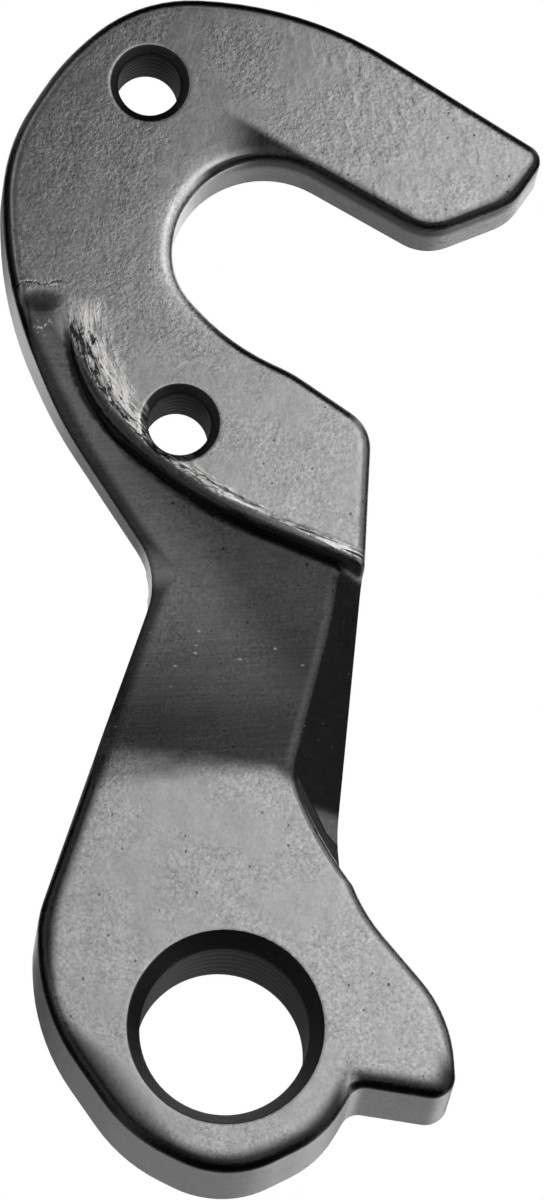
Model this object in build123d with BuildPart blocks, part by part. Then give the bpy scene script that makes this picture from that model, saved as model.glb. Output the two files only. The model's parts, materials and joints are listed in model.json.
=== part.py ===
import os
from math import cos, radians, tan

from build123d import *

# Driving sizes in millimetres. X is right, Z is up and Y is depth, away from the front faces.
# The origin is where the derailleur bore's axis meets the seat plane, the plate's flat back.
DROP = 42.4
SETBACK = 2.3
BOSS_T = 8.0
PLATE_T = 5.2
LEDGE = 1.8
THREAD_R = 4.5
LEAD_IN = 0.75
LEAD_ANGLE = 60
BOLT_R = 1.7
BOLT_RIM = 0.45
RIM_ANGLE = 90
BACK_RIM = 0.4
BOLT_UPPER = (-6.4, 9.25)
BOLT_LOWER = (-4.75, -9.5)
SLOT_R = 5.15
SLOT_DIP = 29.5
RUNOUT_TOP = -2.0
RUNOUT_BEND = -4.4
RUNOUT_KNEE = -9.2
RUNOUT_END = -11.2
RUNOUT_DIP = 0.06
RUNOUT_TOE = 0.3
RUNOUT_R = 6.0
SEAT_R = 18.6
SEAT_FOOT_R = 0.8
BEND_SHARE = 0.323
BEND_TILT = 8.0
BEND_R = 6.0
RAMP_TOP = -20.1
RAMP_R = 20.0
BEVEL_START = (3.55, 15.08)
BEVEL_SLOPE = (1.328, -1.0, -0.134)
FRONT_R = 0.7
BACK_BREAK = 0.6
LIP_R = 0.45
FOOT_R = 0.6
BEVEL_EDGE_R = 0.6
SHOULDER_R = 1.2

# Depths worked out from those, and how far a cutter stands clear of the faces it passes
FRONT_Y = -PLATE_T
LEDGE_Y = FRONT_Y + LEDGE
BACK_Y = FRONT_Y + BOSS_T
BEND_Z = BEND_SHARE * DROP
RAMP_RUN = DROP + RAMP_TOP - BEND_Z
CLEAR = 3.0
SKIM = 0.03
NEAR = 0.01


def roof(x):
    """Height of the slot's sloping upper wall over the axle."""
    return SLOT_R / cos(radians(SLOT_DIP)) - x * tan(radians(SLOT_DIP))


def from_axle(corners):
    """Moves corners that are measured from the axle to the part's own frame."""
    return [(SETBACK + x, DROP + z, r) for x, z, r in corners]


# Outline corners (x, z, corner radius). The hook's back is measured from the axle, from its crown
# down to the waist, the boss and its stop horn from the bore, and the rest from the axle again:
# up the plate's right side, through the slot and out to the toe
HOOK_BACK = [
    (-6.84, 14.15, 8.0),
    (-11.00, 10.73, 14.0),
    (-14.30, 5.48, 9.6),
    (-14.12, -2.37, 21.0),
    (-11.19, -8.85, 24.0),
    (-5.67, -17.32, 4.5),
]
BOSS = [
    (-9.98, 5.79, 6.0),
    (-9.82, 0.84, 11.5),
    (-5.21, -5.81, 9.0),
    (-1.07, -7.85, 5.7),
    (1.59, -7.70, 5.3),
    (5.29, -5.81, 5.6),
    (6.91, -3.05, 0.95),
    (12.26, -3.85, 1.2),
    (12.00, 0.85, 7.5),
    (5.82, 8.17, 9.5),
]
HOOK_FRONT = [
    (5.14, -17.20, 40.0),
    (5.51, -9.46, 2.3),
    (0.25 * SLOT_R, -1.274 * SLOT_R, 1.5 * SLOT_R),
    (-0.394 * SLOT_R, -0.975 * SLOT_R, 2.4 * SLOT_R),
    (-SLOT_R, -0.313 * SLOT_R, 0.78 * SLOT_R),
    (-SLOT_R, roof(-SLOT_R), SLOT_R),
    (8.57, roof(8.57), 2.75),
    (13.10, 2.93, 2.9),
    (14.97, 5.62, 0.9),
    (1.87, 13.88, 20.0),
]
OUTLINE = from_axle(HOOK_BACK) + BOSS + from_axle(HOOK_FRONT)

# The raised plate's lower left edge, from the axle (x, z, corner radius), and the shoulder that holds
# the bevel back from the boss, three points on an arc, from the bore
STEP = [(-10.85, -7.8, 9.5), (-3.65, -13.76, 22.0), (11.7, -19.9, 0)]
SHOULDER = [(2.9, 16.2), (4.85, 10.9), (8.95, 5.3)]

# The front plane, centred on the bore and on the axle
at_bore = Plane.XZ.offset(PLATE_T)
at_axle = Plane(origin=(SETBACK, FRONT_Y, DROP), x_dir=(1, 0, 0), z_dir=(0, -1, 0))

# Keeper for the raised plate: its lower left edge is the step with a rounded lip,
# and the rest lies outside the outline or above the ledge
with BuildPart() as raised:
    with BuildSketch(at_axle):
        with BuildLine():
            FilletPolyline(
                (STEP[0][0], DROP),
                *[(x, z) for x, z, r in STEP],
                (DROP, STEP[-1][1]),
                (DROP, DROP),
                radius=[0, *[r for x, z, r in STEP], 0, 0],
                close=True,
            )
        make_face()
    extrude(amount=-(BOSS_T + CLEAR))
    lip = raised.edges().group_by(Axis.Y)[0].filter_by(GeomType.CIRCLE)
    fillet(lip.sort_by(SortBy.LENGTH)[-1], LIP_R)

# Sloping flat on the right of the neck, held back from the boss by a curved shoulder
with BuildPart() as bevel:
    with BuildSketch(at_bore.offset(CLEAR)):
        with BuildLine():
            shoulder = ThreePointArc(*SHOULDER)
            Polyline(
                shoulder @ 1,
                (DROP, SHOULDER[-1][1]),
                (DROP, DROP),
                (SHOULDER[0][0], DROP),
                shoulder @ 0,
            )
        make_face()
    extrude(amount=-(BOSS_T + 2 * CLEAR))
    slope = Plane(origin=(BEVEL_START[0], FRONT_Y, BEVEL_START[1]), z_dir=BEVEL_SLOPE)
    split(bisect_by=slope, keep=Keep.TOP)
    fillet(bevel.edges().filter_by(GeomType.ELLIPSE), SHOULDER_R)

# Where the cutter ran out at the ledge's upper end: a shallow dip, then a slope down to the ledge
with BuildPart() as runout:
    with BuildSketch(Plane(origin=(0, FRONT_Y, DROP), x_dir=(0, 1, 0), z_dir=(1, 0, 0))):
        with BuildLine():
            FilletPolyline(
                (-SKIM, DROP),
                (-SKIM, RUNOUT_TOP),
                (RUNOUT_DIP, RUNOUT_BEND),
                (LEDGE - RUNOUT_TOE, RUNOUT_KNEE),
                (LEDGE + RUNOUT_TOE, 2 * RUNOUT_END - RUNOUT_KNEE),
                (LEDGE + RUNOUT_TOE, DROP),
                radius=[0, 0, RUNOUT_R, 2 * RUNOUT_R, 0, 0],
                close=True,
            )
        make_face()
    extrude(amount=DROP, both=True)

# Everything cut from the front: the ledge, the ramp up to the bend, and the bevel,
# folded along a line tilted to the right, and kept off the raised plate
fold = Plane(
    origin=(0, FRONT_Y, BEND_Z),
    x_dir=(0, 1, 0),
    z_dir=Vector(1, 0, 0).rotate(Axis.Y, -BEND_TILT),
)
with BuildPart() as relief:
    with BuildSketch(fold):
        with BuildLine():
            FilletPolyline(
                (-SKIM, -DROP), (-SKIM, 0), (LEDGE, RAMP_RUN), (LEDGE, DROP), (-CLEAR, DROP), (-CLEAR, -DROP),
                radius=[0, BEND_R, RAMP_R, 0, 0, 0],
                close=True,
            )
        make_face()
    extrude(amount=DROP, both=True)
    add(bevel.part)
    ramp_side = relief.edges(Select.LAST).filter_by(GeomType.ELLIPSE)
    fillet(ramp_side.filter_by_position(Axis.X, 4, 8).sort_by(Axis.Z)[-1], BEVEL_EDGE_R)
    add(raised.part, mode=Mode.SUBTRACT)
    step_foot = relief.edges(Select.LAST).filter_by(GeomType.CIRCLE)
    fillet(step_foot.filter_by_position(Axis.Y, LEDGE_Y - NEAR, LEDGE_Y + NEAR), FOOT_R)
    add(runout.part, mode=Mode.SUBTRACT)

# Seat for the frame's dropout: a round recess about the axle, cut from the back with a rounded foot,
# and carried on through the front where the plate is put in
with BuildPart() as seat:
    with BuildSketch(at_axle.offset(-PLATE_T)):
        Circle(SEAT_R)
    extrude(amount=-BOSS_T)
    fillet(seat.edges().group_by(Axis.Y)[0], SEAT_FOOT_R)
    with BuildSketch(at_axle.offset(CLEAR)):
        Circle(SEAT_R - SEAT_FOOT_R)
    extrude(amount=-(PLATE_T + CLEAR))

with BuildSketch(at_bore) as outline:
    with BuildLine():
        FilletPolyline(
            *[(x, z) for x, z, r in OUTLINE],
            radius=[r for x, z, r in OUTLINE],
            close=True,
        )
    make_face()

with BuildPart() as plate:
    extrude(outline.sketch, amount=-PLATE_T)
    chamfer(plate.edges().group_by(Axis.Y)[-1], BACK_BREAK)

with BuildPart() as hanger:
    extrude(outline.sketch, amount=-BOSS_T)
    chamfer(hanger.edges().group_by(Axis.Y)[-1], BACK_BREAK)
    add(seat.part, mode=Mode.SUBTRACT)
    add(plate.part)
    fillet(hanger.edges().group_by(Axis.Y)[0], FRONT_R)
    add(relief.part, mode=Mode.SUBTRACT)

    # Derailleur bore with its deep lead-in, and the two frame-bolt holes
    with Locations(at_bore):
        CounterSinkHole(THREAD_R, THREAD_R + LEAD_IN, counter_sink_angle=LEAD_ANGLE)
    with Locations(at_axle):
        with Locations(BOLT_UPPER, BOLT_LOWER):
            CounterSinkHole(BOLT_R, BOLT_R + BOLT_RIM, counter_sink_angle=RIM_ANGLE)
    hole_rims = hanger.edges().filter_by(GeomType.CIRCLE).filter_by(lambda e: e.is_closed)
    chamfer(hole_rims.filter_by_position(Axis.Y, -NEAR, BACK_Y + NEAR), BACK_RIM)

os.makedirs("parts", exist_ok=True)
hanger.part.label = "hanger"
export_step(hanger.part, "parts/hanger.step")
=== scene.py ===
"""Bicycle derailleur hanger, forged and milled from aluminium and anodised dark grey.

The CAD node keeps its shape and gets the anodised finish, with painted shade and painted highlights in its
colour. The threads in the derailleur bore and in the two frame-bolt holes are rings of their own.
"""

import json
import logging
import math
from dataclasses import dataclass, field
from enum import Enum

import bpy
import numpy as np
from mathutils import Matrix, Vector

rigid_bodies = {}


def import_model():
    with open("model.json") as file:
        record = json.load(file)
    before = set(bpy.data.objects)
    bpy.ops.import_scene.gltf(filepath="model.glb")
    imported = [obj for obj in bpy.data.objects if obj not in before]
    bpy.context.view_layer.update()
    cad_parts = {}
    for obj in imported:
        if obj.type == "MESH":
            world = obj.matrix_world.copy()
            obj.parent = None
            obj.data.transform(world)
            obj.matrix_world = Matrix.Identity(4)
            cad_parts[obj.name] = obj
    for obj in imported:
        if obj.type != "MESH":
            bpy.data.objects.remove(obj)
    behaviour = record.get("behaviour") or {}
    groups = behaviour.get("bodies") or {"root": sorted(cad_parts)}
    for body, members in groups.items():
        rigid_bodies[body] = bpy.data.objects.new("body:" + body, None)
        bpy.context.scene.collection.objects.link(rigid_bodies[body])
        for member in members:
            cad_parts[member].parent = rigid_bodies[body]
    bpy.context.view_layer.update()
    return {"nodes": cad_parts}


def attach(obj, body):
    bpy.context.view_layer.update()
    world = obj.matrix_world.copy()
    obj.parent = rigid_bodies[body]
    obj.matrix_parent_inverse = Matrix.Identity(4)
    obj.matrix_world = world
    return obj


LOG = logging.getLogger("hanger")
MM = 0.001
BODY = "root"

Socket = bpy.types.NodeSocket
Feed = Socket | float | tuple[float, ...]


class Blend(Enum):
    """How two masks or distances are put together."""

    BOTH = "MULTIPLY"
    EITHER = "MAXIMUM"
    LESSER = "MINIMUM"


class Mixed(Enum):
    """What a Mix node mixes: its data type, and the places of its two inputs and its output."""

    NUMBERS = ("FLOAT", 2, 3, 0)
    VECTORS = ("VECTOR", 4, 5, 1)
    COLOURS = ("RGBA", 6, 7, 2)


class NodeSheet:
    """Short calls for laying out one node tree."""

    def __init__(self, tree: bpy.types.NodeTree) -> None:
        """Keeps the tree that the calls add to."""
        self.tree = tree

    def add(self, kind: str, **settings: object) -> bpy.types.Node:
        """Adds a node.

        Args:
            kind: Blender's name for the node type.
            **settings: properties to set on the node.

        Returns:
            The new node.
        """
        node = self.tree.nodes.new(kind)
        for name, value in settings.items():
            setattr(node, name, value)
        return node

    def feed(self, socket: Socket, value: Feed) -> None:
        """Links an output to an input, or sets a plain value on it.

        Args:
            socket: the input.
            value: the output or the plain value.
        """
        if isinstance(value, bpy.types.NodeSocket):
            self.tree.links.new(value, socket)
        else:
            socket.default_value = value

    def math(self, operation: str, *values: Feed, clamp: bool = False) -> Socket:
        """Adds a Math node.

        Args:
            operation: Blender's name for the sum.
            *values: what goes in, in order.
            clamp: whether the result is kept between 0 and 1.

        Returns:
            The node's output.
        """
        node = self.add("ShaderNodeMath", operation=operation, use_clamp=clamp)
        for socket, value in zip(node.inputs, values):
            self.feed(socket, value)
        return node.outputs[0]

    def fade(self, value: Feed, start: Feed, end: Feed, low: Feed = 0.0, high: Feed = 1.0) -> Socket:
        """Adds a smooth step.

        Args:
            value: what the step follows.
            start: where the step starts, the lower number.
            end: where it ends.
            low: the result up to the start.
            high: the result from the end on.

        Returns:
            The node's output.
        """
        node = self.add("ShaderNodeMapRange", interpolation_type="SMOOTHSTEP", clamp=True)
        for socket, setting in zip(node.inputs, (value, start, end, low, high)):
            self.feed(socket, setting)
        return node.outputs[0]

    def fall(self, value: Feed, start: Feed, end: Feed) -> Socket:
        """Adds a smooth step that falls from 1 at start to 0 at end, where start is the lower number."""
        return self.fade(value, start, end, 1.0, 0.0)

    def join(self, blend: Blend, *masks: Feed) -> Socket:
        """Puts masks or distances together one after another.

        Args:
            blend: how each is put to the ones before it.
            *masks: the masks or distances.

        Returns:
            The last node's output.
        """
        result = masks[0]
        for mask in masks[1:]:
            result = self.math(blend.value, result, mask)
        return result

    def plane(self, place: "Place", across: float, up: float, offset: float) -> Socket:
        """Distance from a line in the front view: across * x + up * z + offset, in millimetres."""
        return self.math("MULTIPLY_ADD", place.x, across, self.math("MULTIPLY_ADD", place.z, up, offset))

    def noise(
        self, place: Socket, scale: Feed, detail: float = 2.0, rough: float = 0.5, distortion: float = 0.0
    ) -> Socket:
        """Adds a noise texture.

        Args:
            place: the point in millimetres.
            scale: how many waves there are to a millimetre.
            detail: how many finer layers are added.
            rough: how strong each layer is beside the one before it.
            distortion: how far the noise itself moves the point.

        Returns:
            The noise's height, from 0 to 1.
        """
        node = self.add("ShaderNodeTexNoise")
        settings = (("Scale", scale), ("Detail", detail), ("Roughness", rough), ("Distortion", distortion))
        for name, value in (("Vector", place), *settings):
            self.feed(node.inputs[name], value)
        return node.outputs["Fac"]

    def dots(self, place: Socket, per_mm: float, radius: float, share: float) -> Socket:
        """Adds a scatter of round dots.

        Each cell of a Voronoi pattern has a dot at its seed, and a cell's own random number lets it
        through.

        Args:
            place: the point in millimetres.
            per_mm: how many cells there are to a millimetre.
            radius: the dots' radius in millimetres.
            share: the share of cells that have a dot.

        Returns:
            1 in the dots and 0 between them.
        """
        cells = self.add("ShaderNodeTexVoronoi", feature="F1")
        self.feed(cells.inputs["Vector"], place)
        cells.inputs["Scale"].default_value = per_mm
        split = self.add("ShaderNodeSeparateColor")
        self.feed(split.inputs[0], cells.outputs["Color"])
        size = radius * per_mm
        inside = self.fall(cells.outputs["Distance"], 0.5 * size, 1.2 * size)
        return self.math("MULTIPLY", inside, self.fade(split.outputs[0], 0.98 - share, 1.02 - share))

    def stretch(self, place: Socket, x: float, y: float, z: float, turn: float = 0.0) -> Socket:
        """Turns a place about the depth axis and scales it, so that a pattern is drawn out.

        Args:
            place: the point in millimetres.
            x: the scale across.
            y: the scale in depth.
            z: the scale upwards.
            turn: the turn in degrees, made before the scales.

        Returns:
            The new place.
        """
        turned = self.add("ShaderNodeMapping", vector_type="POINT")
        self.feed(turned.inputs["Vector"], place)
        self.feed(turned.inputs["Rotation"], (0.0, math.radians(turn), 0.0))
        scaled = self.add("ShaderNodeVectorMath", operation="MULTIPLY")
        self.feed(scaled.inputs[0], turned.outputs[0])
        self.feed(scaled.inputs[1], (x, y, z))
        return scaled.outputs[0]

    def mix(self, mask: Feed, a: Feed, b: Feed, mixed: Mixed = Mixed.NUMBERS) -> Socket:
        """Mixes two numbers, vectors or colours.

        Args:
            mask: how much of the second there is.
            a: what there is where the mask is 0.
            b: what there is where the mask is 1.
            mixed: which of the three they are.

        Returns:
            The node's output.
        """
        data_type, first, second, output = mixed.value
        node = self.add("ShaderNodeMix", data_type=data_type, clamp_factor=True)
        for place, value in ((0, mask), (first, a), (second, b)):
            self.feed(node.inputs[place], value)
        return node.outputs[output]

    def grey(self, tone: Socket) -> Socket:
        """Makes a grey colour of a number.

        Args:
            tone: the number, from 0 to 1.

        Returns:
            The colour.
        """
        node = self.add("ShaderNodeCombineColor")
        for socket in node.inputs:
            self.feed(socket, tone)
        return node.outputs[0]


@dataclass(frozen=True)
class Place:
    """The surface point in millimetres, whole and by axis."""

    point: Socket
    x: Socket
    y: Socket
    z: Socket

    @classmethod
    def on(cls, sheet: NodeSheet) -> "Place":
        """Adds the nodes that read Object coordinates and split them.

        Args:
            sheet: the material's nodes.

        Returns:
            The surface point.
        """
        metres = sheet.add("ShaderNodeTexCoord").outputs["Object"]
        scale = sheet.add("ShaderNodeVectorMath", operation="SCALE")
        sheet.feed(scale.inputs[0], metres)
        scale.inputs["Scale"].default_value = 1 / MM
        split = sheet.add("ShaderNodeSeparateXYZ")
        sheet.feed(split.inputs[0], scale.outputs[0])
        return cls(scale.outputs[0], *split.outputs)


@dataclass(frozen=True)
class BodySizes:
    """The part's own sizes in millimetres, as they are in the CAD model, and how soft its corners are."""

    front_y: float = -5.2
    ledge: float = 1.8
    bend_z: float = 13.7
    ramp_run: float = 8.6
    bend_tilt: float = 8.0
    bevel_start: tuple[float, float] = (3.55, 15.08)
    bevel_slope: tuple[float, float] = (1.328, -0.134)
    shoulder: tuple[tuple[float, float], ...] = ((2.9, 16.2), (4.85, 10.9), (8.95, 5.3))
    runout: tuple[tuple[float, float], ...] = ((40.4, 0.0), (38.0, 0.06), (33.2, 1.5), (31.2, 1.8))
    step_left: float = -8.55
    step_knee: tuple[float, float] = (-8.55, 34.6)
    step_bend: tuple[float, float] = (-1.35, 28.64)
    step_end: tuple[float, float] = (14.0, 22.5)
    knee_soft: float = 5.4
    bend_soft: float = 1.6
    corner_soft: float = 1.3
    boss_edge: tuple[tuple[float, float], ...] = (
        (-3.37, 25.08),
        (-9.98, 5.79),
        (-9.82, 0.84),
        (-5.21, -5.81),
        (-1.07, -7.85),
        (1.59, -7.7),
        (5.29, -5.81),
        (6.91, -3.05),
    )
    horn_edge: tuple[tuple[float, float], ...] = ((6.91, -3.05), (12.26, -3.85), (12.0, 0.85))
    hook_edge: tuple[tuple[float, float], ...] = (
        (-2.85, 51.23), (10.87, 43.47), (15.4, 45.33), (17.27, 48.02)
    )
    crescent_edge: tuple[tuple[float, float], ...] = (
        (-12.0, 47.88), (-11.82, 40.03), (-8.89, 33.55), (-3.37, 25.08)
    )
    axle: tuple[float, float] = (2.3, 42.4)
    slot_r: float = 5.15
    bore_r: float = 4.5
    bore_rim: float = 0.75
    bolt_r: float = 1.7
    bolt_rim: float = 0.45
    bolts: tuple[tuple[float, float], ...] = ((-4.1, 51.65), (-2.45, 32.9))


@dataclass(frozen=True)
class Regions:
    """Masks and distances that place the finish and its painted shade and highlights on the body's
    features, all in millimetres.

    A mask is 1 where its feature is and falls smoothly to 0 beside it.
    """

    sheet: NodeSheet
    place: Place
    sizes: BodySizes
    shoulder_rise: float = 4.0
    boss_corner: tuple[float, float] = (-7.0, -4.5)
    lip_heading: tuple[float, float] = (0.77, -0.64)

    def depth(self) -> Socket:
        """How far the surface lies behind the front faces."""
        return self.sheet.math("SUBTRACT", self.place.y, self.sizes.front_y)

    def front(self) -> Socket:
        """1 on the front half of the part and 0 on its back."""
        return self.sheet.fall(self.depth(), 3.4, 4.4)

    def line(self, start: tuple[float, float], end: tuple[float, float]) -> Socket:
        """Measures from a line in the front view.

        Args:
            start: the line's first point.
            end: its last point.

        Returns:
            The distance to the left of the line.
        """
        run, rise = end[0] - start[0], end[1] - start[1]
        length = math.hypot(run, rise)
        across, up = -rise / length, run / length
        return self.sheet.plane(self.place, across, up, -across * start[0] - up * start[1])

    def step(self) -> Socket:
        """Measures from the raised plate's lower left edge, which is three lines with soft corners.

        Returns:
            The distance inside the plate.
        """
        sizes = self.sizes
        side = self.sheet.math("SUBTRACT", self.place.x, sizes.step_left)
        knee = self.line(sizes.step_knee, sizes.step_bend)
        foot = self.line(sizes.step_bend, sizes.step_end)
        lower = self.sheet.math("SMOOTH_MIN", knee, foot, sizes.bend_soft)
        return self.sheet.math("SMOOTH_MIN", side, lower, sizes.knee_soft)

    def inside(self, corners: tuple[tuple[float, float], ...]) -> Socket:
        """Measures from one of the part's edges, which is lines from corner to corner, softly joined.

        Args:
            corners: the edge's corners in order, with the part on the left of the lines.

        Returns:
            The distance inside the part.
        """
        soft = self.sizes.corner_soft
        distance = self.line(corners[0], corners[1])
        for start, end in zip(corners[1:], corners[2:]):
            distance = self.sheet.math("SMOOTH_MIN", distance, self.line(start, end), soft)
        return distance

    def ramp(self) -> Socket:
        """Works out the ramp's plane, carried on past the ledge and past the bend.

        Returns:
            Its depth, more than the ledge's above the ramp and under 0 below the bend.
        """
        sizes = self.sizes
        tilt = math.radians(sizes.bend_tilt)
        slope = sizes.ledge / sizes.ramp_run
        across, up = slope * math.sin(tilt), slope * math.cos(tilt)
        return self.sheet.plane(self.place, across, up, -up * sizes.bend_z)

    def runout(self) -> Socket:
        """Works out the slope at the ledge's upper end, three straight stretches one under the other.

        Returns:
            Its depth.
        """
        sheet, stretches = self.sheet, []
        for (z0, d0), (z1, d1) in zip(self.sizes.runout, self.sizes.runout[1:]):
            slope = (d1 - d0) / (z1 - z0)
            stretches.append(sheet.math("MULTIPLY_ADD", self.place.z, slope, d0 - slope * z0))
        upper = sheet.math("MAXIMUM", stretches[0], stretches[1])
        return sheet.math("MINIMUM", upper, stretches[2])

    def bevel(self) -> Socket:
        """Works out the bevel's plane, which the shoulder holds back from the boss.

        Returns:
            Its depth.
        """
        sheet, (top, middle, bottom) = self.sheet, self.sizes.shoulder
        (across, up), (x, z) = self.sizes.bevel_slope, self.sizes.bevel_start
        slope = sheet.plane(self.place, across, up, -across * x - up * z)
        beyond = sheet.math("MINIMUM", self.line(top, middle), self.line(middle, bottom))
        return sheet.math("MINIMUM", slope, sheet.math("MULTIPLY", beyond, self.shoulder_rise))

    def relief_floor(self) -> Socket:
        """Works out the milled floor: ramp, ledge or run-out, or the bevel where that is deeper.

        Returns:
            Its depth.
        """
        sheet = self.sheet
        floor = sheet.join(Blend.LESSER, self.ramp(), self.runout(), self.sizes.ledge)
        return sheet.math("MAXIMUM", floor, self.bevel())

    def shoulder_patch(self) -> Socket:
        """Marks the lower end of the bevel, where it blends into the shoulder.

        Returns:
            The mask.
        """
        sheet, bevel = self.sheet, self.bevel()
        sunk = sheet.math("SUBTRACT", self.depth(), bevel)
        low = sheet.fall(self.place.z, 11.8, 12.9)
        past_shoulder = sheet.fade(bevel, 0.3, 1.0)
        near_slope = sheet.fade(sunk, -0.8, -0.3)
        off_wall = sheet.fall(sunk, 0.05, 0.2)
        return sheet.join(Blend.BOTH, low, past_shoulder, near_slope, off_wall)

    def milled(self) -> Socket:
        """Marks the ledge, the ramp and the bevel, which were milled after forging.

        The lower end is sharp on the right and drawn out on the left, and the upper end is a ragged line.

        Returns:
            The mask.
        """
        sheet, place = self.sheet, self.place
        sunk = sheet.math("SUBTRACT", self.depth(), self.relief_floor())
        past_shoulder = sheet.fade(self.bevel(), 0.0, 0.5)
        low = sheet.fall(place.z, 13.0, 15.0)
        off_wall = sheet.fall(sunk, 0.05, 0.2)
        slack = sheet.join(Blend.BOTH, past_shoulder, low, off_wall)
        gap = sheet.math("SUBTRACT", sheet.math("ABSOLUTE", sunk), slack)
        on_floor = sheet.fall(gap, 0.3, 0.55)

        leftness = sheet.fall(place.x, -5.0, 3.0)
        wander = sheet.math("MULTIPLY_ADD", sheet.noise(place.point, 0.6, 2.0), 0.4, -0.2)
        deeper = sheet.math("MAXIMUM", self.ramp(), self.bevel())
        lower = sheet.math("MULTIPLY_ADD", wander, leftness, deeper)
        lower = sheet.math("MULTIPLY_ADD", sheet.fade(place.x, 2.4, 4.0), 0.16, lower)
        start = sheet.math("MULTIPLY", leftness, -0.3)
        end = sheet.math("MULTIPLY_ADD", leftness, 0.05, 0.24)
        above_bend = sheet.fade(lower, start, end)

        high = sheet.fade(place.z, 36.6, 38.8)
        outer = sheet.math("MULTIPLY_ADD", high, -1.1, -0.15)
        off_plate = sheet.fall(self.step(), outer, 0.15)
        under_crack = sheet.fall(self.above_crack(), -1.5, 0.05)
        return sheet.join(Blend.BOTH, on_floor, above_bend, off_plate, under_crack)

    def cutter(self) -> Socket:
        """Height of the cutter's fine lines across the relief, from 0 to 1."""
        lengthwise = self.sheet.stretch(self.place.point, 0.3, 0.3, 6.0, 4.0)
        return self.sheet.noise(lengthwise, 1.0, 2.0)

    def above_crack(self) -> Socket:
        """Measures from the ragged flow line where the ledge runs out.

        Returns:
            The height above the line.
        """
        sheet, place = self.sheet, self.place
        wiggle = sheet.noise(sheet.stretch(place.point, 1.0, 1.0, 0.2), 0.9, 4.0, 0.65)
        line = sheet.math("MULTIPLY_ADD", wiggle, 1.5, self.sizes.runout[0][0] - 0.65)
        return sheet.math("SUBTRACT", place.z, line)

    def rounded(self) -> Socket:
        """Marks the rounded front edges for painted shade, which stands in for the dark that the metal
        reflects there.

        Returns:
            The mask, which is lower where the edges face right below the hook.
        """
        sheet, place = self.sheet, self.place
        facing = sheet.add("ShaderNodeSeparateXYZ")
        sheet.feed(facing.inputs[0], sheet.add("ShaderNodeTexCoord").outputs["Normal"])
        right, front = facing.outputs[0], sheet.math("MULTIPLY", facing.outputs[1], -1.0)
        square = sheet.math("MULTIPLY_ADD", facing.outputs[1], front, 1.0)
        side = sheet.math("SQRT", sheet.math("MAXIMUM", square, 0.01))
        least = sheet.fade(place.x, 0.0, 3.0, 0.1, 0.5)
        turned = sheet.fade(sheet.math("DIVIDE", right, side), 0.55, 0.8, 1.0, least)
        hook = sheet.math("MULTIPLY", sheet.fade(place.z, 42.0, 45.0), sheet.fade(place.x, 2.0, 8.0))
        near_step = sheet.fall(sheet.math("ABSOLUTE", self.step()), 0.7, 1.0)
        at_step = sheet.math("MULTIPLY", near_step, sheet.fall(place.z, 37.0, 39.0))
        off_step = sheet.math("SUBTRACT", 1.0, at_step)
        off_flat = sheet.fall(front, 0.86, 0.988)
        off_wall = sheet.fade(front, 0.1, 0.3)
        return sheet.join(Blend.BOTH, off_step, off_flat, off_wall, sheet.math("MAXIMUM", turned, hook))

    def shaded(self) -> Socket:
        """Marks painted shade in bands beside the lower edges of the boss, the horn and the hook.

        Returns:
            The mask, which is 0 from a millimetre or two inside the edges.
        """
        sheet, sizes, place = self.sheet, self.sizes, self.place
        depth = self.depth()
        at_front = sheet.fall(depth, 0.3, 0.8)
        corner = sheet.fall(self.from_axis(*self.boss_corner), 2.0, 5.5)
        reach = sheet.math("MULTIPLY_ADD", corner, 1.2, 1.2)
        boss = sheet.join(
            Blend.BOTH,
            sheet.fall(self.inside(sizes.boss_edge), 0.45, reach),
            sheet.fall(place.z, 16.0, 20.0),
            sheet.fall(place.x, 5.9, 6.9),
            at_front,
        )
        horn = sheet.join(
            Blend.BOTH,
            sheet.fall(self.inside(sizes.horn_edge), 0.5, 1.25),
            sheet.fall(place.z, -2.6, -0.5),
            sheet.fade(place.x, 6.2, 7.2),
            at_front,
        )
        hook = sheet.join(
            Blend.BOTH,
            sheet.fall(self.inside(sizes.hook_edge), 0.2, 0.75),
            sheet.fade(place.x, -1.0, 2.0),
            sheet.fade(place.z, 41.0, 42.5),
            sheet.fall(depth, 1.2, 2.2),
        )
        return sheet.join(Blend.EITHER, boss, horn, hook)

    def slot_side(self) -> Socket:
        """Marks the front beside the left half of the axle slot, where it was rubbed bright and a painted
        highlight stands in for reflected light.

        Returns:
            The mask, which is 0 from two millimetres beside the slot.
        """
        sheet, slot_r = self.sheet, self.sizes.slot_r
        near_slot = sheet.fall(self.from_axis(*self.sizes.axle), slot_r + 0.5, slot_r + 1.8)
        left = sheet.fall(self.place.x, -1.5, 1.5)
        high = sheet.fade(self.place.z, 37.0, 41.0)
        at_front = sheet.fall(self.depth(), 0.9, 1.4)
        return sheet.join(Blend.BOTH, near_slot, left, high, at_front)

    def crescent_end(self) -> Socket:
        """1 across the ledge's upper end, between the part's left edge and the step."""
        at_front = self.sheet.fall(self.depth(), 0.5, 0.9)
        return self.sheet.math("MULTIPLY", self.sheet.fall(self.place.x, -9.2, -8.5), at_front)

    def hollow(self, x: float, z: float, half_x: float, half_z: float) -> Socket:
        """Marks an oval on the front.

        Args:
            x: its centre across.
            z: its centre's height.
            half_x: half its width.
            half_z: half its height.

        Returns:
            The mask, which is 1 at the oval's middle and 0 at its edge.
        """
        sheet = self.sheet
        across = sheet.math("MULTIPLY_ADD", self.place.x, 1.0 / half_x, -x / half_x)
        up = sheet.math("MULTIPLY_ADD", self.place.z, 1.0 / half_z, -z / half_z)
        square = sheet.math("MULTIPLY_ADD", across, across, sheet.math("MULTIPLY", up, up))
        return sheet.math("MULTIPLY", sheet.fall(square, 0.0, 1.0), self.front())

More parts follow.
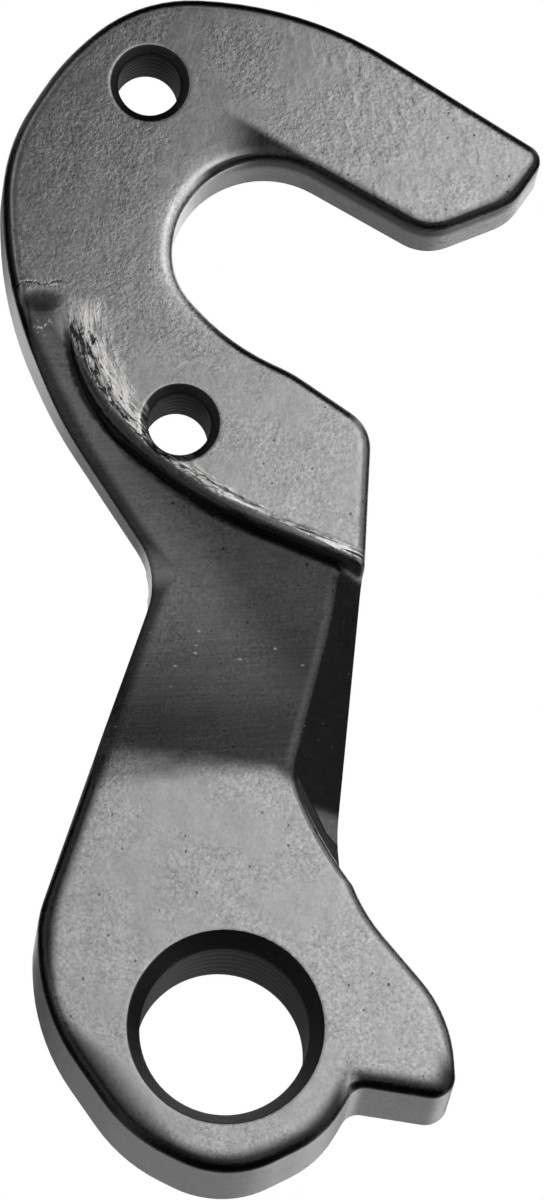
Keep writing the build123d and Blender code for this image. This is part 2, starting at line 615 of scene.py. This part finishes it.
    def from_axis(self, x: float, z: float) -> Socket:
        """Measures from an axis that runs front to back.

        Args:
            x: where the axis is across.
            z: its height.

        Returns:
            The distance.
        """
        sheet = self.sheet
        across = sheet.math("SUBTRACT", self.place.x, x)
        up = sheet.math("SUBTRACT", self.place.z, z)
        square = sheet.math("MULTIPLY_ADD", across, across, sheet.math("MULTIPLY", up, up))
        return sheet.math("SQRT", square)

    def holes(self) -> Socket:
        """Marks the inside of the bore and the bolt holes, their lead-ins included, where painted shade
        goes.

        Returns:
            The mask.
        """
        sheet, sizes = self.sheet, self.sizes
        outer = sizes.bore_r + sizes.bore_rim
        masks = [sheet.fall(self.from_axis(0.0, 0.0), outer - 0.1, outer + 0.02)]
        outer = sizes.bolt_r + sizes.bolt_rim
        for x, z in sizes.bolts:
            masks.append(sheet.fall(self.from_axis(x, z), outer - 0.08, outer + 0.02))
        return sheet.join(Blend.EITHER, *masks)

    def lip(self) -> Socket:
        """Marks the rubbed lip of the step, widest on the left and narrow on the right.

        Returns:
            The mask.
        """
        sheet, step, (edge, reach) = self.sheet, self.step(), self.band()
        ragged = sheet.noise(self.place.point, 1.3, 3.0, 0.6)
        width = sheet.math("MULTIPLY_ADD", sheet.fall(self.place.x, -6.5, 3.0), 1.4, 0.9)
        inward = sheet.math("MULTIPLY_ADD", ragged, 1.2, sheet.math("ADD", step, -0.6))
        near_step = sheet.fall(sheet.math("DIVIDE", inward, width), 0.5, 1.1)
        past_band = sheet.fade(sheet.math("SUBTRACT", edge, reach), -0.1, 0.12)
        at_front = sheet.fall(self.depth(), 0.3, 0.7)
        low = sheet.fall(self.place.z, 38.6, 40.2)
        return sheet.join(Blend.BOTH, near_step, past_band, at_front, low)

    def grit(self) -> Socket:
        """Marks the lip's ragged black cracks, which crowd at the step's edge and thin out at its ends.

        Returns:
            The mask.
        """
        sheet, x, z = self.sheet, self.place.x, self.place.z
        cracks = sheet.noise(self.along_lip(1.9, 6.0), 1.0, 4.0, 0.75, 0.5)
        crowd = sheet.math("MULTIPLY", sheet.fall(self.step(), 0.4, 1.6), sheet.fall(x, -3.5, 2.5))
        limit = sheet.math("MULTIPLY_ADD", crowd, 0.14, 0.4)
        limit = sheet.math("MULTIPLY_ADD", sheet.fade(z, 37.4, 39.0), -0.12, limit)
        lines = sheet.noise(self.along_lip(0.35, 6.5), 1.0, 2.0, 0.6, 0.4)
        lines = sheet.math("MULTIPLY", sheet.fall(lines, 0.45, 0.56), sheet.fade(x, -3.0, 1.0))
        return sheet.math("MAXIMUM", sheet.fall(sheet.math("SUBTRACT", cracks, limit), -0.03, 0.05), lines)

    def band(self) -> tuple[Socket, Socket]:
        """Measures the step's dark edge, which is painted shade.

        Returns:
            How far inside the edge a point lies, and how far in the dark reaches.
        """
        sheet = self.sheet
        ragged = sheet.noise(self.place.point, 2.4, 3.0, 0.7)
        edge = sheet.math("MULTIPLY_ADD", ragged, 0.4, sheet.math("ADD", self.step(), -0.2))
        low = sheet.fall(self.place.z, 34.6, 38.4)
        right = sheet.fade(self.place.x, 2.0, 6.5, 0.0, 0.25)
        return edge, sheet.math("SUBTRACT", sheet.math("MULTIPLY_ADD", low, 0.5, 0.05), right)

    def step_edge(self) -> Socket:
        """Marks the painted shade on the step's edge and wall, below the ledge's run-out.

        Returns:
            The mask.
        """
        sheet, (edge, reach) = self.sheet, self.band()
        in_band = sheet.fall(sheet.math("SUBTRACT", edge, reach), -0.15, 0.12)
        on_plate = sheet.fade(edge, -0.4, -0.15)
        low = sheet.fall(self.place.z, 37.6, 38.8)
        return sheet.join(Blend.BOTH, in_band, on_plate, low, self.front())

    def along_lip(self, along: float, across: float) -> Socket:
        """Puts the place in the lip's own frame: along the lip, and across it from the step's edge.

        Args:
            along: the scale along the lip.
            across: the scale across it.

        Returns:
            The new place.
        """
        sheet, (x, z) = self.sheet, self.lip_heading
        node = sheet.add("ShaderNodeCombineXYZ")
        sheet.feed(node.inputs[0], sheet.plane(self.place, x * along, z * along, 0.0))
        sheet.feed(node.inputs[1], sheet.math("MULTIPLY", self.step(), across))
        return node.outputs[0]


def forged_grain() -> bpy.types.NodeTree:
    """Makes the group that gives a blasted forging its grain.

    Fine grain is strong in patches and weak between them. Mottling is broader, and dents are short bumps
    drawn out upwards. Tone and Height are sums of these about 0. Pits and Specks are scatters of dark and
    light dots, more of them in the patches.

    Returns:
        The node group, with Tone, Height, Pits and Specks.
    """
    group = bpy.data.node_groups.new("forged_grain", "ShaderNodeTree")
    group.interface.new_socket("Point", in_out="INPUT", socket_type="NodeSocketVector")
    for name, value in (("Grain per mm", 5.5), ("Patches", 0.6), ("Dents", 0.4)):
        socket = group.interface.new_socket(name, in_out="INPUT", socket_type="NodeSocketFloat")
        socket.default_value = value
    for name in ("Tone", "Height", "Pits", "Specks"):
        group.interface.new_socket(name, in_out="OUTPUT", socket_type="NodeSocketFloat")
    sheet = NodeSheet(group)
    given = sheet.add("NodeGroupInput").outputs
    point = given["Point"]

    fine = sheet.math("SUBTRACT", sheet.noise(point, given["Grain per mm"], 2.0, 0.65), 0.5)
    patch = sheet.fade(sheet.noise(point, 0.24, 2.0, 0.6), 0.4, 0.6)
    patch = sheet.math("ADD", patch, given["Patches"], clamp=True)
    fine = sheet.math("MULTIPLY", fine, sheet.math("MULTIPLY_ADD", patch, 0.7, 0.3))
    mottle = sheet.math("SUBTRACT", sheet.noise(point, 0.8, 3.0, 0.6, 0.4), 0.5)
    long_bumps = sheet.noise(sheet.stretch(point, 2.2, 2.2, 1.2, 14.0), 1.0, 0.5, 0.5, 0.2)
    dents = sheet.math("MULTIPLY", sheet.fade(long_bumps, 0.45, 0.8), given["Dents"])
    pits = sheet.math("MULTIPLY", sheet.dots(point, 1.5, 0.075, 0.4), patch)
    other_way = sheet.stretch(point, 1.0, 1.0, 1.0, 40.0)
    specks = sheet.math("MULTIPLY", sheet.dots(other_way, 1.9, 0.06, 0.35), patch)

    tone = sheet.math("MULTIPLY_ADD", fine, 1.4, sheet.math("MULTIPLY", mottle, 0.45))
    tone = sheet.math("MULTIPLY_ADD", dents, 0.08, tone)
    height = sheet.math("MULTIPLY_ADD", fine, 0.8, sheet.math("MULTIPLY", mottle, 0.9))
    height = sheet.math("MULTIPLY_ADD", dents, 0.8, height)
    outputs = sheet.add("NodeGroupOutput").inputs
    for name, value in (("Tone", tone), ("Height", height), ("Pits", pits), ("Specks", specks)):
        sheet.feed(outputs[name], value)
    return group


@dataclass(frozen=True)
class AnodisedFinish:
    """Dark grey anodising over a blasted forging, with a milled relief and a rubbed lip, painted shade at
    the holes, the edges, the step and a dent, and painted highlights on the relief and beside the slot.

    A share multiplies the grey, a rise or depth is in millimetres, and a spot is a centre and half sizes.
    """

    grain: bpy.types.NodeTree
    tone: float = 0.36
    milled_share: float = 0.21
    bevel_share: float = 0.165
    patch_share: float = 0.34
    # painted shade on the edges and in the bands beside the lower edges
    edge_share: float = 0.085
    crack_share: float = 0.35
    # painted shade in the run-out's dent
    dent_shade_share: float = 0.35
    grit_share: float = 0.12
    # the rub and a painted highlight beside the slot
    slot_share: float = 1.5
    speck_gain: float = 0.45
    pit_loss: float = 0.5
    fleck_gain: float = 0.9
    spark_gain: float = 2.5
    # painted shade: the holes' insides are painted almost black for the shade that falls in them
    hole_shade_tone: float = 0.035
    bare: tuple[float, float, float] = (0.85, 0.835, 0.82)
    roughness: float = 0.31
    grain_roughness: float = 0.1
    lip_roughness: float = 0.1
    hole_roughness: float = 0.5
    grain_rise: float = 0.03
    milled_grain: float = 0.35
    cutter_rise: float = 0.006
    scrape_rise: float = 0.05
    pit_depth: float = 0.03
    crack_depth: float = 0.02
    dent_depth: float = 0.04
    edge_softness: float = 0.3
    patch_normal: tuple[float, float, float] = (0.5, -0.86, 0.1)
    dent_spot: tuple[float, float, float, float] = (-9.9, 39.6, 1.3, 0.75)
    crumb_spot: tuple[float, float, float, float] = (-9.8, 38.1, 0.7, 0.7)
    # the line that the painted sheen on the relief runs across
    sheen_line: tuple[float, float, float] = (0.841, 0.541, -12.9)

    def material(self, name: str, sizes: BodySizes) -> bpy.types.Material:
        """Makes the body's material.

        Args:
            name: the material's name.
            sizes: where the part's features are.

        Returns:
            The material.
        """
        material = bpy.data.materials.new(name)
        material.use_nodes = True
        sheet = NodeSheet(material.node_tree)
        shader = material.node_tree.nodes["Principled BSDF"]
        place = Place.on(sheet)
        regions = Regions(sheet, place, sizes)
        milled, lip, holes = regions.milled(), regions.lip(), regions.holes()
        hook = sheet.math("MULTIPLY", sheet.fade(place.x, 1.0, 9.0), sheet.fade(place.z, 40.0, 46.0))
        off_centre = sheet.math("ABSOLUTE", place.x)
        grain = sheet.add("ShaderNodeGroup", node_tree=self.grain)
        sheet.feed(grain.inputs["Point"], place.point)
        sheet.feed(grain.inputs["Dents"], sheet.math("MULTIPLY_ADD", hook, 0.7, 0.06))
        sheet.feed(grain.inputs["Patches"], sheet.fade(off_centre, 3.0, 10.0, 0.0, 0.5))

        tone = self.tones(sheet, regions, grain, milled, holes)
        scrape = sheet.noise(regions.along_lip(0.4, 2.6), 1.0, 4.0, 0.7, 0.9)
        grit = regions.grit()
        cracks = sheet.math("MULTIPLY", lip, grit)
        tone = sheet.math("MULTIPLY", tone, sheet.mix(cracks, 1.0, self.grit_share))
        rubbed = sheet.math("MULTIPLY", sheet.fade(scrape, 0.38, 0.56), sheet.math("SUBTRACT", 1.0, grit))
        rubbed = sheet.math("MULTIPLY", lip, rubbed)
        colour = sheet.mix(rubbed, sheet.grey(tone), (*self.bare, 1.0), Mixed.COLOURS)
        sheet.feed(shader.inputs["Base Color"], colour)

        shader.inputs["Metallic"].default_value = 1.0
        rough = sheet.math("MULTIPLY_ADD", grain.outputs["Tone"], self.grain_roughness, self.roughness)
        rough = sheet.math("MULTIPLY_ADD", lip, self.lip_roughness, rough)
        sheet.feed(shader.inputs["Roughness"], sheet.mix(holes, rough, self.hole_roughness))

        soft = sheet.add("ShaderNodeBevel", samples=8)
        soft.inputs["Radius"].default_value = self.edge_softness * MM
        lean = sheet.mix(regions.shoulder_patch(), soft.outputs[0], self.patch_normal, Mixed.VECTORS)
        bump = sheet.add("ShaderNodeBump")
        bump.inputs["Distance"].default_value = MM
        sheet.feed(bump.inputs["Height"], self.height(sheet, regions, grain, milled, lip, scrape))
        sheet.feed(bump.inputs["Normal"], lean)
        sheet.feed(shader.inputs["Normal"], bump.outputs[0])
        return material

    def tones(
        self, sheet: NodeSheet, regions: Regions, grain: bpy.types.Node, milled: Socket, holes: Socket
    ) -> Socket:
        """Adds the grey of the anodising all over the body, lip apart, with the painted shade and painted
        highlights in it.

        Args:
            sheet: the material's nodes.
            regions: the body's features.
            grain: the grain group.
            milled: where the relief was milled.
            holes: where the holes are.

        Returns:
            The grey, from 0 to 1.
        """
        shade = sheet.math("ADD", grain.outputs["Tone"], 1.0)
        shade = sheet.math("MULTIPLY_ADD", grain.outputs["Specks"], self.speck_gain, shade)
        shade = sheet.math("MULTIPLY_ADD", grain.outputs["Pits"], -self.pit_loss, shade)
        shade = sheet.math("MULTIPLY", shade, sheet.mix(milled, 1.0, self.relief_share(sheet, regions)))
        shade = self.cracked(sheet, regions, shade)
        # painted shade on the step's edge and wall, lighter to the right
        step_shade_share = sheet.fade(regions.place.x, -1.0, 6.5, 0.16, 0.5)
        # painted shade on the rounded edges, off the milled relief
        edges = sheet.math("MULTIPLY", regions.rounded(), sheet.math("SUBTRACT", 1.0, milled))
        layers = (
            (regions.step_edge(), step_shade_share),
            # painted shade in the dent at the run-out
            (regions.hollow(*self.dent_spot), self.dent_shade_share),
            # the slot side's rub and painted highlight
            (regions.slot_side(), self.slot_share),
            # painted shade: the edges and the bands beside the lower edges, darkest at the edge
            (sheet.math("MAXIMUM", edges, regions.shaded()), self.edge_share),
        )
        for mask, share in layers:
            shade = sheet.math("MULTIPLY", shade, sheet.mix(mask, 1.0, share))
        # painted shade: the holes are painted almost black
        return sheet.mix(holes, sheet.math("MULTIPLY", shade, self.tone), self.hole_shade_tone)

    def relief_share(self, sheet: NodeSheet, regions: Regions) -> Socket:
        """Adds the milled relief's tone: cutter lines, sparks, a broad painted sheen with painted shade at
        its rims, and the bevel.

        Args:
            sheet: the material's nodes.
            regions: the body's features.

        Returns:
            The share of the grey that is left.
        """
        place, sizes = regions.place, regions.sizes
        lines = sheet.math("MULTIPLY_ADD", regions.cutter(), 0.5, 0.75)
        sparks = sheet.dots(sheet.stretch(place.point, 0.55, 0.55, 1.0, -12.0), 2.2, 0.07, 0.16)
        zone = sheet.math("MULTIPLY", sheet.fade(place.z, 14.5, 17.0), sheet.fall(place.z, 20.5, 24.0))
        lines = sheet.math("MULTIPLY_ADD", sheet.math("MULTIPLY", sparks, zone), self.spark_gain, lines)

        # painted highlight: a broad sheen across the relief
        lit = sheet.fall(sheet.plane(place, *self.sheen_line), -1.8, 1.9)
        sheen = sheet.math("MULTIPLY", lit, sheet.fade(place.z, 16.2, 20.2))
        sheen = sheet.math("MULTIPLY_ADD", sheen, 0.95 * self.milled_share, 0.7 * self.milled_share)
        # painted shade: darker rims along the crescent's and the boss's edges
        rims = (
            (sizes.crescent_edge, 0.25, sheet.fall(place.z, 25.0, 27.5)),
            (sizes.boss_edge, 0.3, sheet.fade(place.z, 23.5, 25.0)),
        )
        for corners, least, past_end in rims:
            rim = sheet.fade(regions.inside(corners), 0.3, 0.9, least, 1.0)
            sheen = sheet.math("MULTIPLY", sheen, sheet.math("MAXIMUM", rim, past_end))

        on_bevel = sheet.fade(sheet.math("SUBTRACT", regions.bevel(), regions.ramp()), -1.0, -0.3)
        share = sheet.mix(on_bevel, sheen, self.bevel_share)
        share = sheet.mix(regions.shoulder_patch(), share, self.patch_share)
        return sheet.math("MULTIPLY", lines, share)

    def cracked(self, sheet: NodeSheet, regions: Regions, shade: Socket) -> Socket:
        """Breaks the grey at the ledge's run-out, by a ragged dark crack and light flecks beside it.

        Args:
            sheet: the material's nodes.
            regions: the body's features.
            shade: the grey before.

        Returns:
            The grey with the crack.
        """
        crack = sheet.math("ABSOLUTE", regions.above_crack())
        end = regions.crescent_end()
        crumbs = sheet.noise(regions.place.point, 4.0, 2.0, 0.7)
        near = sheet.math("MAXIMUM", sheet.fall(crack, 0.08, 0.5), regions.hollow(*self.crumb_spot))
        flecks = sheet.join(Blend.BOTH, end, near, sheet.fade(crumbs, 0.58, 0.66))
        split = sheet.join(Blend.BOTH, end, sheet.fall(crack, 0.02, 0.09), sheet.fade(crumbs, 0.36, 0.46))
        shade = sheet.math("MULTIPLY_ADD", flecks, self.fleck_gain, shade)
        return sheet.math("MULTIPLY", shade, sheet.mix(split, 1.0, self.crack_share))

    def height(
        self,
        sheet: NodeSheet,
        regions: Regions,
        grain: bpy.types.Node,
        milled: Socket,
        lip: Socket,
        scrape: Socket,
    ) -> Socket:
        """Adds the fine relief: grain, pits, cutter marks, lip scratches, and the run-out's crack and dent.

        Args:
            sheet: the material's nodes.
            regions: the body's features.
            grain: the grain group.
            milled: where the relief was milled.
            lip: where the lip was rubbed.
            scrape: the lip's scratches.

        Returns:
            The height in millimetres.
        """
        height = sheet.math("MULTIPLY", grain.outputs["Height"], self.grain_rise)
        marks = sheet.math("MULTIPLY", regions.cutter(), self.cutter_rise)
        marks = sheet.math("MULTIPLY_ADD", height, self.milled_grain, marks)
        height = sheet.mix(milled, height, marks)
        crack = sheet.fall(sheet.math("ABSOLUTE", regions.above_crack()), 0.03, 0.12)
        layers = (
            (grain.outputs["Pits"], -self.pit_depth),
            (sheet.math("MULTIPLY", lip, scrape), self.scrape_rise),
            (sheet.math("MULTIPLY", regions.crescent_end(), crack), -self.crack_depth),
            (regions.hollow(*self.dent_spot), -self.dent_depth),
        )
        for mask, rise in layers:
            height = sheet.math("MULTIPLY_ADD", mask, rise, height)
        return height


@dataclass(frozen=True)
class ThreadFinish:
    """Cut thread, painted almost black as painted shade inside the holes."""

    grain: bpy.types.NodeTree
    tone: float = 0.04
    roughness: float = 0.65

    def material(self, name: str) -> bpy.types.Material:
        """Makes the thread's material.

        Args:
            name: the material's name.

        Returns:
            The material.
        """
        material = bpy.data.materials.new(name)
        material.use_nodes = True
        sheet = NodeSheet(material.node_tree)
        shader = material.node_tree.nodes["Principled BSDF"]
        grain = sheet.add("ShaderNodeGroup", node_tree=self.grain)
        sheet.feed(grain.inputs["Point"], Place.on(sheet).point)
        tone = sheet.math("MULTIPLY_ADD", grain.outputs["Tone"], self.tone, self.tone)
        sheet.feed(shader.inputs["Base Color"], sheet.grey(tone))
        shader.inputs["Metallic"].default_value = 1.0
        shader.inputs["Roughness"].default_value = self.roughness
        return material


@dataclass(frozen=True)
class ThreadedHole:
    """The thread on the wall of one hole, as a ring with a helical inner side, in millimetres.

    The ridge's height is crest - flank * distance from its middle in pitches, kept between 0 and 1.
    """

    name: str
    centre: tuple[float, float]
    wall_r: float
    pitch: float
    start_y: float
    end_y: float
    depth: float = 0.03
    seat: float = 0.02
    skin: float = 0.01
    crest: float = 1.35
    flank: float = 3.6
    steps_round: int = 96
    steps_per_pitch: int = 12

    def build(self, material: bpy.types.Material) -> bpy.types.Object:
        """Builds the ring.

        A loop of points goes along the inner side and back along the outer side, and is carried round the
        axis. The inner radius is the wall's less a skin and a flat-topped ridge, whose phase is
        y / pitch - turn. The ridge fades out over the first and last half pitch.

        Args:
            material: the thread's finish.

        Returns:
            The ring's object.
        """
        length = self.end_y - self.start_y
        count = int(round(length / self.pitch * self.steps_per_pitch)) + 1
        y = np.linspace(self.start_y, self.end_y, count)
        turn = np.arange(self.steps_round) / self.steps_round
        phase = (y[None, :] / self.pitch - turn[:, None]) % 1.0
        ridge = np.clip(self.crest - self.flank * np.abs(phase - 0.5), 0.0, 1.0)
        fade = np.clip(np.minimum(y - self.start_y, self.end_y - y) / (0.5 * self.pitch), 0.0, 1.0)
        inner = self.wall_r - self.skin - self.depth * ridge * fade[None, :]
        outer = np.full_like(inner, self.wall_r + self.seat)
        radius = np.concatenate([inner, outer[:, ::-1]], axis=1)
        along = np.broadcast_to(np.concatenate([y, y[::-1]]), radius.shape)
        angle = (2.0 * math.pi * turn)[:, None]
        x = self.centre[0] + radius * np.cos(angle)
        z = self.centre[1] + radius * np.sin(angle)
        points = np.stack([x, along, z], axis=-1).reshape(-1, 3) * MM
        return ring_mesh(self.name, points, self.steps_round, 2 * count, material)


def ring_mesh(
    name: str, points: np.ndarray, around: int, across: int, material: bpy.types.Material
) -> bpy.types.Object:
    """Makes a closed ring from a grid of points that wraps both ways.

    Args:
        name: the object's name.
        points: the grid's points in metres, one loop after another.
        around: how many loops there are.
        across: how many points each loop has.
        material: the ring's finish.

    Returns:
        The object, riding on the part's body.
    """
    i, j = np.meshgrid(np.arange(around), np.arange(across), indexing="ij")
    i_next, j_next = (i + 1) % around, (j + 1) % across
    quads = np.stack(
        [i * across + j, i * across + j_next, i_next * across + j_next, i_next * across + j], axis=-1
    ).reshape(-1, 4)
    mesh = bpy.data.meshes.new(name)
    mesh.from_pydata(points.tolist(), [], quads.tolist())
    mesh.polygons.foreach_set("use_smooth", np.ones(len(quads), dtype=bool))
    mesh.materials.append(material)
    piece = bpy.data.objects.new(name, mesh)
    bpy.context.scene.collection.objects.link(piece)
    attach(piece, BODY)
    return piece


@dataclass
class Hanger:
    """The forged body, which is the CAD node with its finish, and the threads in its holes."""

    node: bpy.types.Object
    sizes: BodySizes = field(default_factory=BodySizes)
    bore_pitch: float = 1.0
    bolt_pitch: float = 0.7
    bore_span: tuple[float, float] = (-3.9, 2.4)
    bolt_span: tuple[float, float] = (-4.75, -0.4)
    bolt_steps: int = 64

    def dress(self) -> None:
        """Puts the finish on the node and cuts the threads."""
        grain = forged_grain()
        self.node.material_slots[0].material = AnodisedFinish(grain).material("anodised_body", self.sizes)
        LOG.info("%s: anodised", self.node.name)
        thread = ThreadFinish(grain).material("anodised_thread")
        for hole in self.threads():
            piece = hole.build(thread)
            LOG.info("%s: %d faces", piece.name, len(piece.data.polygons))

    def threads(self) -> list[ThreadedHole]:
        """Lists the three threaded holes.

        Returns:
            The bore and the two bolt holes.
        """
        sizes = self.sizes
        holes = [ThreadedHole("bore_thread", (0.0, 0.0), sizes.bore_r, self.bore_pitch, *self.bore_span)]
        bolt = (sizes.bolt_r, self.bolt_pitch, *self.bolt_span)
        for name, centre in zip(("bolt_thread_upper", "bolt_thread_lower"), sizes.bolts):
            holes.append(ThreadedHole(name, centre, *bolt, steps_round=self.bolt_steps))
        return holes


@dataclass(frozen=True)
class Ramp:
    """A smooth change of a card's glow along one direction: across * x + up * z, from start to end."""

    across: float
    up: float
    start: float
    end: float
    low: float


@dataclass
class Card:
    """A card beside the object, dark or glowing, that only reflections see."""

    name: str
    centre: tuple[float, float, float]
    half_a: tuple[float, float, float]
    half_b: tuple[float, float, float]
    tone: float = 0.02
    ramps: tuple[Ramp, ...] = ()

    def build(self) -> bpy.types.Object:
        """Makes the card from its centre and its two half edges.

        Returns:
            The card's object.
        """
        a, b = np.array(self.half_a), np.array(self.half_b)
        corners = np.array(self.centre) + np.array([-a - b, a - b, a + b, b - a])
        mesh = bpy.data.meshes.new(self.name)
        mesh.from_pydata((corners * MM).tolist(), [], [(0, 1, 2, 3)])
        card = bpy.data.objects.new(self.name, mesh)
        bpy.context.scene.collection.objects.link(card)
        mesh.materials.append(self.material())
        card.visible_camera = False
        card.visible_shadow = False
        card.visible_diffuse = False
        return card

    def material(self) -> bpy.types.Material:
        """Makes the card's glow, its tone times each of its ramps.

        Returns:
            The material.
        """
        material = bpy.data.materials.new(self.name)
        material.use_nodes = True
        sheet = NodeSheet(material.node_tree)
        glow = sheet.add("ShaderNodeEmission")
        glow.inputs["Color"].default_value = (1.0, 1.0, 1.0, 1.0)
        strength: Feed = self.tone
        if self.ramps:
            place = Place.on(sheet)
            for ramp in self.ramps:
                along = sheet.plane(place, ramp.across, ramp.up, 0.0)
                share = sheet.fade(along, ramp.start, ramp.end, ramp.low)
                strength = sheet.math("MULTIPLY", share, strength)
        sheet.feed(glow.inputs["Strength"], strength)
        out = material.node_tree.nodes["Material Output"]
        sheet.feed(out.inputs["Surface"], glow.outputs[0])
        return material


@dataclass
class Studio:
    """Floor, cards, world and the camera at the photograph's angle."""

    aim: tuple[float, float, float] = (2.144, -10.673, 21.877)
    azimuth: float = -3.0
    elevation: float = -13.75
    distance: float = 800.0
    lens: float = 454.8
    floor_z: float = -300.0
    floor_half: float = 4000.0
    floor_tone: float = 0.85
    soft_light: float = 0.9
    cards: tuple[Card, ...] = (
        Card(
            "softbox", (10, -50, 30), (52, 0, 0), (0, 0, 60), 1.4,
            (
                Ramp(0.785, -0.62, -51.0, -23.0, 0.1),
                Ramp(0.9, -0.43, -34.0, -24.0, 0.62),
                Ramp(1.0, 0.0, -3.0, 20.0, 0.68),
                Ramp(0.8, 0.6, -26.0, -8.0, 0.1),
            ),
        ),
        Card("flag_left", (-70, 13, 24), (0, 43, 0), (0, 0, 70)),
        Card("box_right", (64, -34, 30), (0, 24, 0), (0, 0, 60), 0.9),
        Card("flag_right", (64, 40, 24), (0, 46, 0), (0, 0, 60), 0.1),
        Card("flag_top", (5, -10, 120), (60, 0, 0), (0, 60, 0)),
        Card("flag_bottom", (5, -20, -60), (60, 0, 0), (0, 60, 0)),
        Card(
            "back", (0, 200, -60), (200, 0, 0), (0, 0, 110), 1.35,
            (Ramp(1.0, 0.0, 20.0, 110.0, 0.24), Ramp(0.0, -1.0, -40.0, 25.0, 0.2)),
        ),
        Card(
            "back_left", (-95, 200, 85), (105, 0, 0), (0, 0, 35), 1.0,
            (Ramp(0.0, -1.0, -93.0, -75.0, 0.12),),
        ),
        Card("back_right", (85, 200, 90), (55, 0, 0), (0, 0, 36), 1.6),
    )

    def build(self) -> None:
        """Builds the whole stage."""
        self.build_world()
        self.build_floor()
        for card in self.cards:
            card.build()
        self.build_camera()

    def build_camera(self) -> None:
        """Stands the camera on its line of sight, at its distance from the point it aims at."""
        turn, tilt = math.radians(self.azimuth), math.radians(self.elevation)
        back = Vector((math.sin(turn) * math.cos(tilt), -math.cos(turn) * math.cos(tilt), math.sin(tilt)))
        data = bpy.data.cameras.new("camera")
        data.lens = self.lens
        data.clip_start = 0.01
        data.clip_end = 50.0
        camera = bpy.data.objects.new("camera", data)
        camera.location = (Vector(self.aim) + back * self.distance) * MM
        camera.rotation_euler = (-back).to_track_quat("-Z", "Y").to_euler()
        bpy.context.scene.collection.objects.link(camera)
        bpy.context.scene.camera = camera

    def build_floor(self) -> None:
        """Lays a plain pale floor under the object, below the camera's sight."""
        half, z = self.floor_half * MM, self.floor_z * MM
        corners = [(-half, -half, z), (half, -half, z), (half, half, z), (-half, half, z)]
        mesh = bpy.data.meshes.new("floor")
        mesh.from_pydata(corners, [], [(0, 1, 2, 3)])
        floor = bpy.data.objects.new("floor", mesh)
        bpy.context.scene.collection.objects.link(floor)
        material = bpy.data.materials.new("floor")
        material.use_nodes = True
        shader = material.node_tree.nodes["Principled BSDF"]
        tone = self.floor_tone
        shader.inputs["Base Color"].default_value = (tone, tone, tone, 1.0)
        shader.inputs["Roughness"].default_value = 0.9
        mesh.materials.append(material)

    def build_world(self) -> None:
        """Makes the world white to sight and to reflections, and a soft light for the rest."""
        world = bpy.data.worlds.new("studio")
        world.use_nodes = True
        bpy.context.scene.world = world
        sheet = NodeSheet(world.node_tree)
        path = sheet.add("ShaderNodeLightPath")
        seen = sheet.join(
            Blend.EITHER,
            path.outputs["Is Camera Ray"],
            path.outputs["Is Glossy Ray"],
            path.outputs["Is Transmission Ray"],
        )
        background = world.node_tree.nodes["Background"]
        sheet.feed(background.inputs["Strength"], sheet.mix(seen, self.soft_light, 1.0))
        background.inputs["Color"].default_value = (1.0, 1.0, 1.0, 1.0)


def main() -> None:
    """Loads the frame, dresses the part and sets the stage."""
    logging.basicConfig(level=logging.INFO, format="%(message)s")
    for leftover in list(bpy.data.objects):
        bpy.data.objects.remove(leftover)
    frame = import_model()
    bpy.context.scene.view_settings.view_transform = "Standard"
    Hanger(frame["nodes"]["hanger"]).dress()
    Studio().build()


if __name__ == "__main__":
    main()
